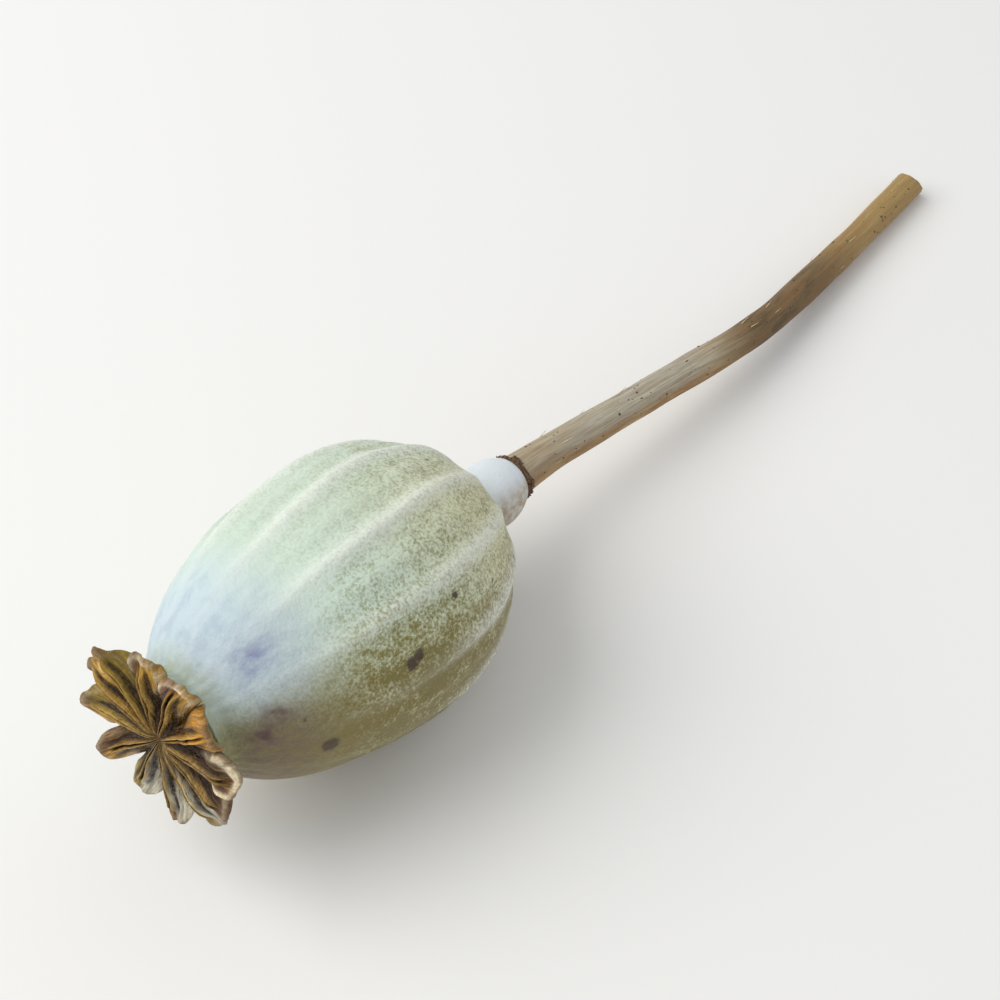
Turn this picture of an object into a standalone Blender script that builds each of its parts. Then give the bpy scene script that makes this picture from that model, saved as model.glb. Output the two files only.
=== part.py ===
"""A poppy seed head, picked with a short length of stem and lying on its side.

The head is drawn in its own frame first, in millimetres: the axis runs along X, the
ray disc looks towards -X, the stem leaves towards +X, and X = 0 is the crease where
the capsule meets its collar. u is the distance from that crease towards the disc.
The head is then tipped until the belly and the cut end of the stem both touch the
surface, which is Z = 0, and moved so that the origin is under its middle.
"""

import math
import random

import bmesh
import bpy
from mathutils import Matrix, Vector

MM = 0.001

# Capsule and collar
CAPSULE_DIAMETER = 35.5
CAPSULE_LENGTH = 50.9
WIDEST_AT = 21.4
BASE_REACH = 22.0
TOP_REACH = 29.8
NECK_RADIUS = 6.6
NECK_FLARE = 1.4
NECK_FLARE_LENGTH = 2.4
NECK_BLEND = 8
COLLAR_LENGTH = 7.9
COLLAR_RADIUS = 4.6
COLLAR_WIDEST = 3.7
COLLAR_REACH = 6.1

# Ribs, one under each ray of the disc; a span is where something sets in and is whole
RAYS = 12
PITCH = 2 * math.pi / RAYS
RIB_HEIGHT = 0.34
RIB_WIDTH = 0.8
RIB_GROOVE = 0.11
GROOVE_OFFSET = 2.1
GROOVE_WIDTH = 0.95
RIB_SPAN = (0.3, 3.0)
RIB_FADE_SPAN = (29.0, 45.0)
RIB_REST = 0.3

# Unevenness: height, bulges round the axis, phase, waves per mm along it, phase
LUMPS = ((0.2, 2, 0.6, 0.09, 1.6), (0.12, 5, 0.0, 0.31, 1.1))
LUMP_SPAN = (1.0, 8.0)
LUMP_FADE_SPAN = (43.0, 49.0)

# Ray disc
DISC_RADIUS = 12.5
LOBE_HALF_WIDTH = 1.98
LOBE_THICKNESS = 0.8
HUB_RADIUS = 6.7
HUB_HEIGHT = 2.4
UNDERSIDE_START = 7.6
UNDERSIDE_MIDDLE = 0.3
ROOT_CLEARANCE = 0.975
FOOT_CLEARANCE = 0.95
DROOP = 0.2
FOLD_DEPTH = 1.0
FOLD_POWER = 1.4
FOLD_SPAN = (0.8, 6.5)
RIDGE_HEIGHT = 0.85
RIDGE_WIDTH = 0.52
RIDGE_SPAN = (0.4, 3.0)
RIDGE_END_SPAN = (10.1, 12.0)
SLIT_DEPTH = 0.35
SLIT_WIDTH = 0.16
MARGIN_HEIGHT = 0.5
MARGIN_WIDTH = 0.45
MARGIN_SPAN = (5.5, 8.0)
DIMPLE_DEPTH = 0.5
DIMPLE_WIDTH = 1.2

# How the lobes have dried, as the least and the most of each habit
LOBE_SEED = 12
CURL = (-1.0, 1.2)
SWAY = (-0.5, 0.5)
TWIST = (-0.3, 0.3)
REACH = (-0.7, 0.5)

# Stem and the scar ring at its top
STEM_LENGTH = 95.0
STEM_RADIUS_TOP = 2.4
STEM_RADIUS_END = 2.12
STEM_KNOTS = ((0.05, 0.21, 0.5), (0.03, 0.53, 0.0))
STEM_FLARE = 0.45
STEM_FLARE_LENGTH = 3.0
SCAR_RADIUS = 3.35
SCAR_LENGTH = 1.1
SCAR_ROUNDING = 0.25
HEADING_START = math.radians(-6.0)
HEADING_END = math.radians(3.0)
HEADING_SPAN = (0.0, 11.4)
BEND_SPAN = (38.0, 62.7)
STEM_LIFT = math.radians(8.0)
LIFT_SPAN = (38.0, 95.0)
CUT_SLANT = math.tan(math.radians(24.0))

# Rest: the tilt lifts the disc end, and the crease is placed over the surface
REST_TILT = math.radians(8.95)
CREASE_AT = Vector((-23.73, -0.09, 14.10))

GAP = 0.3

# Where the faceted solids have their points: degrees from a ray, and shares of a length
RIB_SAMPLES = (-9.5, -5.0, -2.0, 0.0, 2.0, 5.0, 9.5, 15.0)
LOBE_SAMPLES = (-14.3, -13.0, -11.3, -8.5, -4.5, -1.8, 0.0, 1.8, 4.5, 8.5, 11.3, 13.0, 14.3, 15.0)
DISC_RINGS = (0.14, 0.3, 0.45, 0.58, 0.69, 0.79, 0.88, 0.95, 1.0)
SCAR_RINGS = (0.0, 0.3, 0.7, 0.999)
COLLAR_RINGS = 6
BASE_RINGS = 10
TOP_RINGS = 14
STEM_SIDES = 14
STEM_STEP = 3.0
FLARE_STEPS = (0.35, 1.4)
SHARP_ANGLE = math.radians(50)
MERGE = 1e-6


def smooth(span, x):
    """0 before the span, 1 after it, and an even S along it."""
    low, high = span
    t = min(1.0, max(0.0, (x - low) / (high - low)))
    return t * t * (3 - 2 * t)


def bump(x, width):
    """A round hill of height 1 at x = 0."""
    return math.exp(-((x / width) ** 2))


def around_axis(u, radius, angle):
    """A point at u along the axis; angle 0 is up and turns towards +Y."""
    return Vector((-u, radius * math.sin(angle), radius * math.cos(angle)))


def capsule_radius(u):
    """Radius of the plain capsule or collar, with no ribs, at u from the crease."""
    if u < 0:
        return COLLAR_RADIUS * math.sqrt(1 - ((u + COLLAR_WIDEST) / COLLAR_REACH) ** 2)
    half = CAPSULE_DIAMETER / 2
    if u < WIDEST_AT:
        return half * math.sqrt(1 - ((WIDEST_AT - u) / BASE_REACH) ** 2)
    oval = half * math.sqrt(1 - ((u - WIDEST_AT) / TOP_REACH) ** 2)
    flare = smooth((CAPSULE_LENGTH - NECK_FLARE_LENGTH, CAPSULE_LENGTH), u)
    neck = NECK_RADIUS + NECK_FLARE * flare
    return (oval**NECK_BLEND + neck**NECK_BLEND) ** (1 / NECK_BLEND)


def rib_relief(u, arc):
    """Height of a rib and of the shallow grooves beside it, at arc mm from its crest."""
    strength = smooth(RIB_SPAN, u) * (1 - (1 - RIB_REST) * smooth(RIB_FADE_SPAN, u))
    ridge = RIB_HEIGHT * bump(arc, RIB_WIDTH)
    groove = RIB_GROOVE * bump(abs(arc) - GROOVE_OFFSET, GROOVE_WIDTH)
    return strength * (ridge - groove)


def lumps(u, angle):
    """The slow unevenness of a grown surface."""
    body = smooth(LUMP_SPAN, u) * (1 - smooth(LUMP_FADE_SPAN, u))
    waves = (
        height * math.sin(bulges * angle + turned) * math.sin(pace * u + phase)
        for height, bulges, turned, pace, phase in LUMPS
    )
    return body * sum(waves)


def capsule_rings():
    """Rings of points from the collar's end to the seat of the disc."""
    stations = [-COLLAR_LENGTH * k / COLLAR_RINGS for k in range(COLLAR_RINGS, 0, -1)]
    quarter = math.pi / 2
    for k in range(BASE_RINGS + 1):
        stations.append(WIDEST_AT * (1 - math.cos(quarter * k / BASE_RINGS)))
    for k in range(1, TOP_RINGS + 1):
        rest = CAPSULE_LENGTH - WIDEST_AT
        stations.append(WIDEST_AT + rest * math.sin(quarter * k / TOP_RINGS))
    rings = []
    for u in stations:
        plain = capsule_radius(u)
        ring = []
        for ray in range(RAYS):
            for sample in RIB_SAMPLES:
                off = math.radians(sample)
                angle = (ray + 0.5) * PITCH + off
                radius = plain + rib_relief(u, plain * off) + lumps(u, angle)
                ring.append(around_axis(u, radius, angle))
        rings.append(ring)
    return rings


def lobe_outline(phi):
    """Radius of the disc's edge at angle phi from the middle of a ray."""
    centre = DISC_RADIUS - LOBE_HALF_WIDTH
    if abs(math.sin(phi)) * centre < LOBE_HALF_WIDTH:
        across = centre * math.sin(phi)
        return centre * math.cos(phi) + math.sqrt(LOBE_HALF_WIDTH**2 - across**2)
    return LOBE_HALF_WIDTH / abs(math.sin(phi))


def inside_edge(x, y):
    """Distance from a point of a lobe to the lobe's edge."""
    centre = DISC_RADIUS - LOBE_HALF_WIDTH
    if x < centre:
        return LOBE_HALF_WIDTH - abs(y)
    return LOBE_HALF_WIDTH - math.hypot(x - centre, y)


def disc_fold(x, y):
    """Height of the pleated sheet over its seat: high along a ray, low between two."""
    half = min(LOBE_HALF_WIDTH, max(x, MERGE) * math.tan(PITCH / 2))
    across = min(1.0, abs(y) / half)
    fold = FOLD_DEPTH * smooth(FOLD_SPAN, x) * across**FOLD_POWER
    return HUB_HEIGHT - DROOP * (x / DISC_RADIUS) ** 2 - fold


def disc_top(x, y):
    """Height of the disc's face over its seat, x along a ray and y across it."""
    along = smooth(RIDGE_SPAN, x) * (1 - smooth(RIDGE_END_SPAN, x))
    ridge = RIDGE_HEIGHT * bump(y, RIDGE_WIDTH) - SLIT_DEPTH * bump(y, SLIT_WIDTH)
    rim = bump(inside_edge(x, y) - MARGIN_WIDTH, MARGIN_WIDTH) * smooth(MARGIN_SPAN, x)
    dimple = DIMPLE_DEPTH * bump(x, DIMPLE_WIDTH)
    return disc_fold(x, y) + ridge * along + MARGIN_HEIGHT * rim - dimple


def disc_underside(x, y):
    """Height of the underside of a lobe, which keeps one thickness below the fold."""
    return disc_fold(x, y) - LOBE_THICKNESS


def lobe_habits():
    """How each lobe has dried: how far it curls down, sways, twists and reaches."""
    draw = random.Random(LOBE_SEED)
    spans = {"curl": CURL, "sway": SWAY, "twist": TWIST, "reach": REACH}
    return [{name: draw.uniform(*span) for name, span in spans.items()} for _ in range(RAYS)]


def dried(habit, x, y, height):
    """A lobe's point after drying; nothing moves inside the notches."""
    q = max(0.0, (x - UNDERSIDE_START) / (DISC_RADIUS - UNDERSIDE_START))
    return (
        x + habit["reach"] * q,
        y + habit["sway"] * q * q,
        height - habit["curl"] * q * q + habit["twist"] * q * y,
    )


def disc_point(ray, habit, phi, radius, height_of):
    """A point of the disc in the head's frame; height_of gives its height over the seat."""
    x, y = radius * math.cos(phi), radius * math.sin(phi)
    x, y, height = dried(habit, x, y, height_of(x, y))
    angle = (ray + 0.5) * PITCH + math.atan2(y, x)
    return around_axis(CAPSULE_LENGTH + GAP + height, math.hypot(x, y), angle)


def face_radii(edge):
    """Radii of the face's points, from near the middle out to the edge."""
    return [edge * share for share in DISC_RINGS]


def underside_radii(edge):
    """Radii of the underside's points, from the edge in to where the lobe leaves the hub."""
    root = min(UNDERSIDE_START, edge * ROOT_CLEARANCE)
    return [edge, root + (edge - root) * UNDERSIDE_MIDDLE]


def hub_radius(edge):
    """Radius of the hub's foot, which stays inside the notches."""
    return [min(HUB_RADIUS, edge * FOOT_CLEARANCE)]


def disc_rings():
    """Rings from the middle of the face, over the edge, to the hub that sits on the neck."""
    habits = lobe_habits()
    parts = (
        (face_radii, disc_top),
        (underside_radii, disc_underside),
        (hub_radius, lambda x, y: 0.0),
    )
    rings = []
    for radii_of, height_of in parts:
        columns = []
        for ray in range(RAYS):
            for sample in LOBE_SAMPLES:
                phi = math.radians(sample)
                radii = radii_of(lobe_outline(phi))
                columns.append([disc_point(ray, habits[ray], phi, r, height_of) for r in radii])
        rings += [list(ring) for ring in zip(*columns)]
    return rings


def stem_radius(s):
    """Radius of the stem at s mm below the collar: the scar ring, the flare, the taper."""
    if s < SCAR_LENGTH:
        return SCAR_RADIUS - SCAR_ROUNDING * ((2 * s / SCAR_LENGTH) - 1) ** 2
    taper = STEM_RADIUS_TOP + (STEM_RADIUS_END - STEM_RADIUS_TOP) * s / STEM_LENGTH
    knots = sum(height * math.sin(pace * s + phase) for height, pace, phase in STEM_KNOTS)
    return taper + knots + STEM_FLARE * math.exp(-(s - SCAR_LENGTH) / STEM_FLARE_LENGTH)


def stem_direction(s):
    """Unit direction of the stem at s: it sways to one side and lifts near its end."""
    turn = smooth(BEND_SPAN, s)
    heading = HEADING_START * smooth(HEADING_SPAN, s) * (1 - turn) + HEADING_END * turn
    lift = STEM_LIFT * smooth(LIFT_SPAN, s)
    level = Vector((math.cos(heading), math.sin(heading), 0.0))
    return level * math.cos(lift) + Vector((0.0, 0.0, math.sin(lift)))


def stem_stations():
    """Distances below the collar at which the stem has a ring of points."""
    count = round((STEM_LENGTH - STEM_STEP) / STEM_STEP)
    scar = [SCAR_LENGTH * share for share in SCAR_RINGS]
    flare = [SCAR_LENGTH + step for step in FLARE_STEPS]
    shaft = [STEM_STEP + (STEM_LENGTH - STEM_STEP) * k / count for k in range(count + 1)]
    return scar + flare + shaft


def stem_rings():
    """Rings from the scar that faces the collar to the slanting cut."""
    centre = Vector((COLLAR_LENGTH + GAP, 0.0, 0.0))
    rings, reached = [], 0.0
    for s in stem_stations():
        forward = stem_direction(s)
        centre = centre + stem_direction((reached + s) / 2) * (s - reached)
        reached = s
        side = Vector((0, 0, 1)).cross(forward).normalized()
        up = forward.cross(side)
        slant = CUT_SLANT if s >= STEM_LENGTH else 0.0
        radius = stem_radius(s)
        ring = []
        for k in range(STEM_SIDES):
            angle = 2 * math.pi * k / STEM_SIDES
            out = side * math.sin(angle) + up * math.cos(angle)
            ring.append(centre + out * radius - forward * slant * radius * math.cos(angle))
        rings.append(ring)
    return rings


def rest_matrix():
    """Head frame to the surface: tipped, placed, and turned from millimetres to metres."""
    tipped = Matrix.Rotation(REST_TILT, 4, "Y")
    return Matrix.Scale(MM, 4) @ Matrix.Translation(CREASE_AT) @ tipped


def flatten_underside(bm):
    """Cuts off what would sink into the surface, which leaves a small flat to rest on."""
    everything = bm.verts[:] + bm.edges[:] + bm.faces[:]
    bmesh.ops.bisect_plane(
        bm, geom=everything, dist=MERGE, plane_co=(0, 0, 0), plane_no=(0, 0, 1), clear_inner=True
    )
    open_edges = [edge for edge in bm.edges if edge.is_boundary]
    if open_edges:
        bmesh.ops.holes_fill(bm, edges=open_edges)


def skin(name, rings, material, middle=None):
    """A closed solid through the rings; middle is a point that closes the first ring."""
    bm = bmesh.new()
    loops = [[bm.verts.new(point) for point in ring] for ring in rings]
    count = len(loops[0])
    for near, far in zip(loops, loops[1:]):
        for k in range(count):
            after = (k + 1) % count
            bm.faces.new((near[k], near[after], far[after], far[k]))
    if middle is None:
        bm.faces.new(loops[0])
    else:
        pole = bm.verts.new(middle)
        for k in range(count):
            bm.faces.new((pole, loops[0][(k + 1) % count], loops[0][k]))
    bm.faces.new(loops[-1])
    bmesh.ops.recalc_face_normals(bm, faces=bm.faces)
    bm.transform(rest_matrix())
    flatten_underside(bm)
    mesh = bpy.data.meshes.new(name)
    bm.to_mesh(mesh)
    bm.free()
    mesh.shade_smooth()
    mesh.set_sharp_from_angle(angle=SHARP_ANGLE)
    mesh.materials.append(material)
    solid = bpy.data.objects.new(name, mesh)
    bpy.context.scene.collection.objects.link(solid)
    return solid


def finish_of(name, colour, roughness):
    """A Principled material with a plain colour."""
    material = bpy.data.materials.new(name)
    material.use_nodes = True
    shader = material.node_tree.nodes["Principled BSDF"]
    shader.inputs["Base Color"].default_value = (*colour, 1.0)
    shader.inputs["Roughness"].default_value = roughness
    shader.inputs["Metallic"].default_value = 0.0
    return material


def build():
    """Builds the three pieces: capsule with collar, ray disc, and stem with its scar ring."""
    for old in list(bpy.data.objects):
        bpy.data.objects.remove(old)
    waxy = finish_of("waxy_green_capsule", (0.46, 0.50, 0.36), 0.6)
    horny = finish_of("dried_ray_disc", (0.36, 0.22, 0.06), 0.65)
    bark = finish_of("dry_stem_skin", (0.30, 0.22, 0.13), 0.7)
    skin("capsule", capsule_rings(), waxy)
    centre = around_axis(CAPSULE_LENGTH + GAP + disc_top(0.0, 0.0), 0.0, 0.0)
    skin("stigma_disc", disc_rings(), horny, middle=centre)
    skin("stem", stem_rings(), bark)


build()
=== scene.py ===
"""Dresses a poppy seed head that lies on its side, with its stem cut short.

Each sub-assembly is drawn in the head's own frame, in millimetres: the axis runs along X,
the ray disc looks towards -X, the stem leaves towards +X, and X = 0 is the crease between
the capsule and its collar. u is the distance from that crease towards the disc, and turn
is the angle round the axis, 0 at the top and growing towards +Y. Rest then lays the whole
down where the frame's solids lie.
"""

import itertools
import logging
import math
import random
from dataclasses import dataclass
from enum import Enum
from functools import cached_property
from typing import ClassVar

import bmesh
import bpy
import numpy as np
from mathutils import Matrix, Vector


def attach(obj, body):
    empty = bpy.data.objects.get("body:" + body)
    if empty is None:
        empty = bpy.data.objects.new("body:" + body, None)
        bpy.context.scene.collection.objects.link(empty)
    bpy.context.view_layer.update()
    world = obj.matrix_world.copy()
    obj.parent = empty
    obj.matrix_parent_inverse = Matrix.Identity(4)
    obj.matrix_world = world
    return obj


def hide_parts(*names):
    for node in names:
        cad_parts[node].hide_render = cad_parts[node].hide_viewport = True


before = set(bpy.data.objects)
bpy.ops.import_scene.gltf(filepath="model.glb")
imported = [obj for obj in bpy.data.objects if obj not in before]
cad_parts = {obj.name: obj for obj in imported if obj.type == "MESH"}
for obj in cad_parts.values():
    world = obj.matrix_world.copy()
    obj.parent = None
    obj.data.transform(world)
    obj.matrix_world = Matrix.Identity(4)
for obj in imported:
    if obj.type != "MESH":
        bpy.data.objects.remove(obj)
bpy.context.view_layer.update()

LOG = logging.getLogger("seed_head")
BODY = "root"
MM = 0.001
TAU = 2 * math.pi

Array = np.ndarray
Tree = bpy.types.NodeTree
Node = bpy.types.Node
Socket = bpy.types.NodeSocket
Piece = bpy.types.Object
Material = bpy.types.Material
Span = tuple[float, float]
Triple = tuple[float, float, float]


def smooth(span: Span, x: Array | float) -> Array | float:
    """Sets something in along a span.

    Args:
        span: Where it starts and where it is whole.
        x: Where to look.

    Returns:
        0 before the span, 1 after it, and an even S along it.
    """
    low, high = span
    t = np.clip((x - low) / (high - low), 0.0, 1.0)
    return t * t * (3 - 2 * t)


def bump(x: Array | float, width: float) -> Array | float:
    """A round hill of height 1 at x = 0, and of that width."""
    return np.exp(-((x / width) ** 2))


def linear(colour: str, alpha: float = 1.0) -> tuple[float, float, float, float]:
    """Turns an sRGB hex colour into Blender's linear one.

    Args:
        colour: Six hex digits after a #.
        alpha: Opacity.

    Returns:
        Red, green, blue and alpha.
    """
    parts = [int(colour[k : k + 2], 16) / 255 for k in (1, 3, 5)]
    curved = [c / 12.92 if c <= 0.04045 else ((c + 0.055) / 1.055) ** 2.4 for c in parts]
    return (*curved, alpha)


def feed(tree: Tree, node: Node, inputs: dict) -> None:
    """Sets or links a node's inputs.

    Args:
        tree: The tree that holds the node.
        node: The node.
        inputs: Socket name or number, to a value, or to the node or output that feeds it.
    """
    for key, value in inputs.items():
        if isinstance(key, int):
            socket = node.inputs[key]
        else:
            socket = next(s for s in node.inputs if s.enabled and s.name == key)
        if isinstance(value, Node):
            value = next(s for s in value.outputs if s.enabled)
        if isinstance(value, Socket):
            tree.links.new(value, socket)
        else:
            socket.default_value = value


def add(tree: Tree, kind: str, inputs: dict | None = None, **settings) -> Node:
    """Adds a node with its settings and links.

    Args:
        tree: The tree that takes the node.
        kind: Blender's name for the kind of node.
        inputs: What feeds its inputs.
        **settings: The node's own options, set before its inputs.

    Returns:
        The new node.
    """
    node = tree.nodes.new(kind)
    for name, value in settings.items():
        setattr(node, name, value)
    feed(tree, node, inputs or {})
    return node


def stand(name: str, data: bpy.types.ID) -> Piece:
    """Makes an object of its data and puts it in the scene, at the origin.

    Args:
        name: Its name.
        data: Its mesh, camera or lamp.

    Returns:
        The object.
    """
    thing = bpy.data.objects.new(name, data)
    bpy.context.scene.collection.objects.link(thing)
    return thing


class Growth:
    """Seeded noise that varies evenly through space, for the unevenness of grown things."""

    SIDE = 64

    def __init__(self, seed: int) -> None:
        """Draws the lattice from the seed."""
        drawn = np.random.default_rng(seed)
        self.lattice = drawn.uniform(-1.0, 1.0, (self.SIDE,) * 3)

    def at(self, points: Array, size: float | Triple) -> Array:
        """Reads the noise.

        Args:
            points: Places, with three numbers in the last axis, in millimetres.
            size: How far apart its hills are, the same way all round or along X, Y and Z.

        Returns:
            A number for each place, mostly between -0.6 and 0.6.
        """
        spots = points / np.asarray(size, dtype=float)
        cell = np.floor(spots).astype(int)
        part = spots - cell
        part = part * part * (3 - 2 * part)
        total = np.zeros(points.shape[:-1])
        for corner in itertools.product((0, 1), repeat=3):
            near = np.where(np.array(corner) == 1, part, 1 - part)
            where = (cell + np.array(corner)) % self.SIDE
            weight = near[..., 0] * near[..., 1] * near[..., 2]
            total += weight * self.lattice[where[..., 0], where[..., 1], where[..., 2]]
        return total


@dataclass(frozen=True)
class Rest:
    """How the head lies: its axis is tipped about Y, then its crease is put in its place."""

    tilt: float = math.radians(8.95)
    crease: Triple = (-23.73, -0.09, 14.10)

    def turned(self, vectors: Array) -> Array:
        """Turns directions of the head's frame into the row frame."""
        c, s = math.cos(self.tilt), math.sin(self.tilt)
        return vectors @ np.array([[c, 0.0, -s], [0.0, 1.0, 0.0], [s, 0.0, c]])

    def laid(self, points: Array) -> Array:
        """Puts points of the head's frame in the row frame, in metres.

        Args:
            points: Places in the head's frame, in millimetres.

        Returns:
            The same places in metres, with what would sink pressed flat on the surface.
        """
        placed = (self.turned(points) + np.array(self.crease)) * MM
        placed[..., 2] = np.maximum(placed[..., 2], 0.0)
        return placed


def ring_mesh(name: str, rings: Array, traits: dict[str, Array], rest: Rest) -> Piece:
    """Skins rings of points into one closed mesh, with a pole at each end.

    Args:
        name: The object's name.
        rings: Rings by points by three numbers, in the head's frame.
        traits: Measures kept on the points for the finish, each with the rings' shape.
        rest: How the head lies.

    Returns:
        The object, at the origin, with its place in its mesh.
    """
    count, around = rings.shape[:2]
    ends = [rings[0].mean(axis=0), rings[-1].mean(axis=0)]
    points = np.concatenate([rings.reshape(-1, 3), ends])
    ring, column = np.meshgrid(np.arange(count - 1), np.arange(around), indexing="ij")
    after = (column + 1) % around
    quads = [ring * around + column, ring * around + after]
    quads += [(ring + 1) * around + after, (ring + 1) * around + column]
    faces = np.stack(quads, axis=-1).reshape(-1, 4).tolist()
    first, last, top = count * around, count * around + 1, (count - 1) * around
    for k in range(around):
        faces.append([first, (k + 1) % around, k])
        faces.append([last, top + k, top + (k + 1) % around])
    mesh = bpy.data.meshes.new(name)
    mesh.from_pydata(rest.laid(points).tolist(), [], faces)
    bm = bmesh.new()
    bm.from_mesh(mesh)
    bmesh.ops.recalc_face_normals(bm, faces=bm.faces)
    bm.to_mesh(mesh)
    bm.free()
    mesh.shade_smooth()
    for trait, values in traits.items():
        vector = values.ndim == 3
        ends = np.stack([values[0].mean(axis=0), values[-1].mean(axis=0)])
        flat = values.reshape(-1, 3) if vector else values.reshape(-1)
        layer = mesh.attributes.new(trait, "FLOAT_VECTOR" if vector else "FLOAT", "POINT")
        layer.data.foreach_set("vector" if vector else "value", np.concatenate([flat, ends]).ravel())
    return stand(name, mesh)


def growing_tree(name: str, inputs: dict[str, object]) -> tuple[Tree, Node]:
    """Starts a Geometry Nodes tree with a mesh going in and one socket for each size.

    Args:
        name: The tree's name.
        inputs: Name of each input, to its value; the value's type gives the socket's.

    Returns:
        The tree and its input node.
    """
    kinds = {int: "NodeSocketInt", float: "NodeSocketFloat", Material: "NodeSocketMaterial"}
    tree = bpy.data.node_groups.new(name, "GeometryNodeTree")
    tree.interface.new_socket("Geometry", in_out="INPUT", socket_type="NodeSocketGeometry")
    for label, value in inputs.items():
        tree.interface.new_socket(label, in_out="INPUT", socket_type=kinds[type(value)])
    tree.interface.new_socket("Geometry", in_out="OUTPUT", socket_type="NodeSocketGeometry")
    return tree, add(tree, "NodeGroupInput")


def close_tree(tree: Tree, shape: Node, finish: Socket) -> None:
    """Ends a Geometry Nodes tree: instances made real, the finish set, the shape put out.

    Args:
        tree: The tree.
        shape: The node whose shape goes out.
        finish: The socket that gives the material.
    """
    real = add(tree, "GeometryNodeRealizeInstances", {"Geometry": shape})
    dressed = add(tree, "GeometryNodeSetMaterial", {"Geometry": real, "Material": finish})
    add(tree, "NodeGroupOutput", {"Geometry": dressed})


def grow(base: Piece, tree: Tree, inputs: dict, name: str) -> Piece:
    """Runs a Geometry Nodes tree on a piece and keeps the result as a plain mesh.

    Args:
        base: The piece that the tree works on, which stays as it is.
        tree: The tree.
        inputs: Name of each of the tree's inputs, to its value.
        name: The new piece's name.

    Returns:
        The new piece.
    """
    modifier = base.modifiers.new(name, "NODES")
    modifier.node_group = tree
    for item in tree.interface.items_tree:
        if item.in_out == "INPUT" and item.name in inputs:
            modifier[item.identifier] = inputs[item.name]
    view = bpy.context.evaluated_depsgraph_get()
    mesh = bpy.data.meshes.new_from_object(base.evaluated_get(view), depsgraph=view)
    mesh.name = name
    base.modifiers.remove(modifier)
    return stand(name, mesh)


def hand_over(piece: Piece, node: str = "") -> None:
    """Gives a finished piece to the frame.

    Args:
        piece: The piece.
        node: The solid that it stands for, if it does.
    """
    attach(piece, BODY)
    if node:
        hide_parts(node)
    LOG.info("%s: %d faces", piece.name, len(piece.data.polygons))


def new_material(name: str) -> tuple[Material, Tree, Node]:
    """Starts a material.

    Args:
        name: What it is made of and how its surface came about.

    Returns:
        The material, its tree and its Principled shader.
    """
    material = bpy.data.materials.new(name)
    material.use_nodes = True
    tree = material.node_tree
    return material, tree, tree.nodes["Principled BSDF"]


def trait(tree: Tree, name: str, output: str = "Fac") -> Socket:
    """Reads one of a mesh's traits: a number, or with the output Vector a place or a colour."""
    return add(tree, "ShaderNodeAttribute", attribute_name=name).outputs[output]


def cloud(tree: Tree, spot: Socket, size: float | Triple, edge: Span, detail: float = 3.0) -> Node:
    """Makes soft-edged patches.

    Args:
        tree: The tree.
        spot: Where a point lies, in millimetres.
        size: How far apart the patches are, all round or along the axes, in millimetres.
        edge: The noise's values between which a patch sets in.
        detail: How broken its edge is.

    Returns:
        The node that gives 0 outside a patch and 1 inside.
    """
    size = (size,) * 3 if isinstance(size, float) else size
    scaled = add(tree, "ShaderNodeVectorMath", {0: spot, 1: size}, operation="DIVIDE")
    settings = {"Vector": scaled, "Scale": 1.0, "Detail": detail, "Roughness": 0.6}
    noise = add(tree, "ShaderNodeTexNoise", settings)
    limits = {"Value": noise, "From Min": edge[0], "From Max": edge[1]}
    return add(tree, "ShaderNodeMapRange", limits, interpolation_type="SMOOTHSTEP")


@dataclass(frozen=True)
class Layer:
    """A colour laid over others: its pattern times slope, plus base, times each of its traits."""

    colour: str
    traits: tuple[str, ...] = ()
    pattern: Node | None = None
    slope: float = 1.0
    base: float = 0.0


def layered(tree: Tree, below: object, *layers: Layer) -> Node:
    """Lays colours over one another.

    Args:
        tree: The tree.
        below: The lowest colour as a hex value, or what gives it.
        *layers: The others, from below up.

    Returns:
        The node that gives what is seen.
    """
    below = linear(below) if isinstance(below, str) else below
    for layer in layers:
        amount = 1.0
        if layer.pattern is not None:
            terms = {0: layer.pattern, 1: layer.slope, 2: layer.base}
            amount = add(tree, "ShaderNodeMath", terms, operation="MULTIPLY_ADD")
        for name in layer.traits:
            amount = add(tree, "ShaderNodeMath", {0: amount, 1: trait(tree, name)}, operation="MULTIPLY")
        colours = {"Factor": amount, "A": below, "B": linear(layer.colour)}
        below = add(tree, "ShaderNodeMix", colours, data_type="RGBA")
    return below


def work_out(tree: Tree, known: dict[str, object], steps: list[tuple]) -> None:
    """Adds a chain of sums, each of which may use the results of those before it.

    Args:
        tree: The tree.
        known: What each name stands for; the results join it.
        steps: Name of each result, its operation, and its terms, as names or numbers.
    """
    for name, operation, *terms in steps:
        inputs = {place: known.get(term, term) for place, term in enumerate(terms)}
        known[name] = add(tree, "ShaderNodeMath", inputs, operation=operation)


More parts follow.
